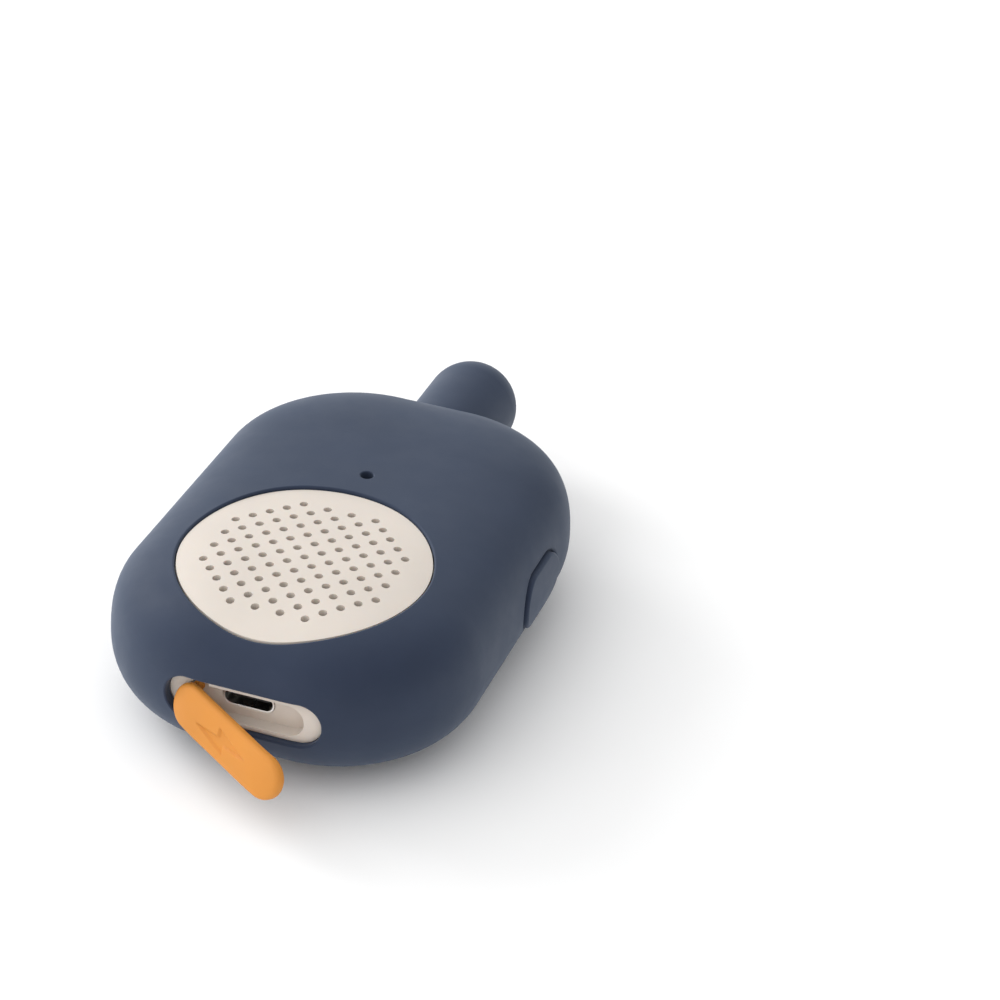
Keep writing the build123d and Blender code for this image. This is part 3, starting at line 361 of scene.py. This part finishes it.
flap_face = fitted_face()
flap_rows = flap_section()
flap_outline = stadium_outline(flap_length, flap_height, FLAP_AROUND)
flap_points = [
    opened @ flap_point(flap_face, foot, out, inset, depth)
    for inset, depth in flap_rows
    for foot, out in flap_outline
]
flap_faces = loops_to_faces(len(flap_rows), FLAP_AROUND, closed=False)
charging_flap = new_piece("charging_flap", flap_points, flap_faces, "orange_silicone")
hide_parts("usb_flap")
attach(charging_flap, "flap")

# ---------------------------------------------------------------- the flap's strap
STRAP_STEPS = 24
STRAP_AROUND = 20
STRAP_WIDTH = 2.3 * MM
STRAP_THICKNESS = 0.85 * MM
STRAP_REACH = 1.3 * MM  # how far it runs straight before it bends
STRAP_START_DEPTH = 0.6 * MM  # inside the anchor's outer end
STRAP_END_OUT = 0.25 * MM  # beyond the middle of the CAD strap
STRAP_WAIST = 0.18  # share of the width that is missing in the middle, where it bends
STRAP_SQUARENESS = 0.5  # 1 gives an oval section, and less a squarer one

anchor_low, anchor_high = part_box("flap_anchor")
tether_low, tether_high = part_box("flap_tether")
anchor_middle = (anchor_low + anchor_high) / 2
strap_start = Vector((anchor_middle.x, anchor_low.y + STRAP_START_DEPTH, anchor_middle.z))
strap_end = (tether_low + tether_high) / 2
flap_turn = opened.to_3x3()
inward = flap_turn @ Vector((0, 1, 0))
across_start, across_end = Vector((0, 0, 1)), flap_turn @ Vector((0, 0, 1))
bends = (
    strap_start,
    strap_start + Vector((0, -STRAP_REACH, 0)),
    strap_end + inward * STRAP_REACH,
    strap_end - inward * STRAP_END_OUT,
)


def squarish(value):
    """A cosine or sine that makes a circle squarer."""
    return math.copysign(abs(value) ** STRAP_SQUARENESS, value)


def strap_loop(t):
    """The strap's section at a share t of its length, across a Bezier curve through the four bends."""
    a, b, c, d = bends
    centre = a * (1 - t) ** 3 + b * 3 * t * (1 - t) ** 2 + c * 3 * t * t * (1 - t) + d * t ** 3
    along = ((b - a) * (1 - t) ** 2 + (c - b) * 2 * t * (1 - t) + (d - c) * t * t).normalized()
    wide = across_start.lerp(across_end, t)
    wide = (wide - along * wide.dot(along)).normalized()
    thick = along.cross(wide)
    half_width = STRAP_WIDTH / 2 * (1 - STRAP_WAIST * math.sin(math.pi * t))
    loop = []
    for j in range(STRAP_AROUND):
        turn = TAU * j / STRAP_AROUND
        u = squarish(math.cos(turn)) * half_width
        v = squarish(math.sin(turn)) * STRAP_THICKNESS / 2
        loop.append(centre + wide * u + thick * v)
    return loop


strap_points = [p for i in range(STRAP_STEPS + 1) for p in strap_loop(i / STRAP_STEPS)]
strap_faces = loops_to_faces(STRAP_STEPS + 1, STRAP_AROUND, closed=False)
strap_faces.append(tuple(range(STRAP_AROUND)))
strap_faces.append(tuple(range(STRAP_STEPS * STRAP_AROUND, (STRAP_STEPS + 1) * STRAP_AROUND)))
flap_strap = new_piece("flap_strap", strap_points, strap_faces, "orange_silicone")
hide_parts("flap_tether")
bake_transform(flap_strap)

# ---------------------------------------------------------------- soft web round the talk button
WEB_AROUND = 160
WEB_GAP = 0.125 * MM  # middle of the slit round the button, outwards from the button's edge
WEB_BESIDE = 1.0 * MM  # from the slit to the place where the sleeve's skin is measured
# across the web, in mm: distance from the middle of the slit, and depth under the sleeve's skin
WEB_SECTION = [(0.42, 0.62), (0.26, 0.52), (0.10, 0.56), (0.0, 0.58), (-0.10, 0.56), (-0.26, 0.52),
               (-0.42, 0.62), (-0.42, 0.90), (0.0, 0.98), (0.42, 0.90)]

talk_low, talk_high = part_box("ptt_button")
talk_middle = (talk_low + talk_high) / 2
talk_length, talk_height = talk_high.y - talk_low.y, talk_high.z - talk_low.z
talk_outline = stadium_outline(talk_length, talk_height, WEB_AROUND)
sleeve_tree = surface_tree("silicone_sleeve")


def beside_talk(foot, out, outwards):
    """A place on the talk side, as (y, z), at a distance outwards from the middle of the button's slit."""
    reach = talk_height / 2 + WEB_GAP + outwards
    return talk_middle.y + foot[0] + out[0] * reach, talk_middle.z + foot[1] + out[1] * reach


web_points = []
for across, depth in WEB_SECTION:
    for foot, out in talk_outline:
        beside = beside_talk(foot, out, WEB_BESIDE)
        skin = sleeve_tree.ray_cast(Vector((1, *beside)), Vector((-1, 0, 0)))[0]
        web_points.append(Vector((skin.x - depth * MM, *beside_talk(foot, out, across * MM))))
talk_web = new_piece(
    "talk_web", web_points, loops_to_faces(len(WEB_SECTION), WEB_AROUND), "navy_silicone"
)
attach(talk_web, "housing")

# ---------------------------------------------------------------- floor
FLOOR_HALF = 3.0
FLOOR_LOOK = dict(colour=(0.97, 0.97, 0.97), rough=0.9, grain=1.5, height=0.01, vary=0.004)

floor_mesh = bpy.data.meshes.new("floor")
corners = [(-1, -1), (1, -1), (1, 1), (-1, 1)]
floor_points = [(x * FLOOR_HALF, y * FLOOR_HALF, cad_low.z) for x, y in corners]
floor_mesh.from_pydata(floor_points, [], [(0, 1, 2, 3)])
floor = bpy.data.objects.new("floor", floor_mesh)
bpy.context.scene.collection.objects.link(floor)
floor_paper = finish_material("floor_paper", **FLOOR_LOOK)
floor_mesh.materials.append(floor_paper)
# seen from below the floor lets everything through, so that the back can be looked at
paper = floor_paper.node_tree
clear = paper.nodes.new("ShaderNodeBsdfTransparent")
side = paper.nodes.new("ShaderNodeNewGeometry")
faced = paper.nodes.new("ShaderNodeMixShader")
paper.links.new(side.outputs["Backfacing"], faced.inputs["Fac"])
paper.links.new(paper.nodes["Principled BSDF"].outputs["BSDF"], faced.inputs[1])
paper.links.new(clear.outputs["BSDF"], faced.inputs[2])
paper.links.new(faced.outputs["Shader"], paper.nodes["Material Output"].inputs["Surface"])

# ---------------------------------------------------------------- light
BRIGHTEST = Vector((-0.8, -0.45, 0.2)).normalized()  # the side of the studio that the light comes from
SKY_DIM, SKY_BRIGHT = 0.26, 1.66
KEY_AZIMUTH = -105
KEY_ELEVATION = 28
KEY_DISTANCE = 0.75
KEY_SIZE = 0.30
KEY_POWER = 1.7


def studio_sky():
    """A sky that is brighter on one side, while the camera itself sees an even white backdrop."""
    world = bpy.data.worlds.new("studio")
    world.use_nodes = True
    sky = world.node_tree
    ray = sky.nodes.new("ShaderNodeTexCoord")
    towards = sky.nodes.new("ShaderNodeVectorMath")
    towards.operation = "DOT_PRODUCT"
    towards.inputs[1].default_value = BRIGHTEST
    sky.links.new(ray.outputs["Generated"], towards.inputs[0])
    level = sky.nodes.new("ShaderNodeMapRange")
    for socket, value in (("From Min", -1), ("From Max", 1), ("To Min", SKY_DIM), ("To Max", SKY_BRIGHT)):
        level.inputs[socket].default_value = value
    sky.links.new(towards.outputs["Value"], level.inputs["Value"])
    lit = sky.nodes["Background"]
    lit.inputs["Color"].default_value = WHITE
    sky.links.new(level.outputs["Result"], lit.inputs["Strength"])
    backdrop = sky.nodes.new("ShaderNodeBackground")
    backdrop.inputs["Color"].default_value = WHITE
    seen = sky.nodes.new("ShaderNodeLightPath")
    choice = sky.nodes.new("ShaderNodeMixShader")
    sky.links.new(seen.outputs["Is Camera Ray"], choice.inputs["Fac"])
    sky.links.new(lit.outputs["Background"], choice.inputs[1])
    sky.links.new(backdrop.outputs["Background"], choice.inputs[2])
    sky.links.new(choice.outputs["Shader"], sky.nodes["World Output"].inputs["Surface"])
    bpy.context.scene.world = world


def towards_viewer(azimuth, elevation):
    """The direction from the object to an eye or a lamp, by its angles in degrees."""
    a, e = math.radians(azimuth), math.radians(elevation)
    return Vector((math.sin(a) * math.cos(e), -math.cos(a) * math.cos(e), math.sin(e)))


def soft_light(name, azimuth, elevation, distance, size, power):
    """A square studio lamp round the object, aimed at its middle."""
    data = bpy.data.lights.new(name, "AREA")
    data.size, data.energy = size, power
    lamp = bpy.data.objects.new(name, data)
    back = towards_viewer(azimuth, elevation)
    lamp.location = (cad_low + cad_high) / 2 + back * distance
    lamp.rotation_euler = (-back).to_track_quat("-Z", "Y").to_euler()
    bpy.context.scene.collection.objects.link(lamp)


studio_sky()
soft_light("key", KEY_AZIMUTH, KEY_ELEVATION, KEY_DISTANCE, KEY_SIZE, KEY_POWER)

# ---------------------------------------------------------------- camera
CAMERA_LENS = 108.6
CAMERA_AZIMUTH = 18.0
CAMERA_ELEVATION = 31.8
CAMERA_ROLL = 3.2
CAMERA_DISTANCE = 0.4933  # from the middle of the grille, at the height of the sleeve's top
CAMERA_RIGHT = 0.0319
CAMERA_UP = 0.0089

camera_data = bpy.data.cameras.new("camera")
camera_data.lens = CAMERA_LENS
camera = bpy.data.objects.new("camera", camera_data)
bpy.context.scene.collection.objects.link(camera)
azimuth, roll = math.radians(CAMERA_AZIMUTH), math.radians(CAMERA_ROLL)
back = towards_viewer(CAMERA_AZIMUTH, CAMERA_ELEVATION)
level = Vector((math.cos(azimuth), math.sin(azimuth), 0))
right = level * math.cos(roll) + back.cross(level) * math.sin(roll)
up = back.cross(right)
grille_low, grille_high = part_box("speaker_grille")
grille_middle = (grille_low + grille_high) / 2
aim = Vector((grille_middle.x, grille_middle.y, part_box("silicone_sleeve")[1].z))
stand = Matrix((right, up, back)).transposed().to_4x4()
stand.translation = aim + back * CAMERA_DISTANCE + right * CAMERA_RIGHT + up * CAMERA_UP
camera.matrix_world = stand
bpy.context.scene.camera = camera
bpy.context.scene.view_settings.view_transform = "Standard"
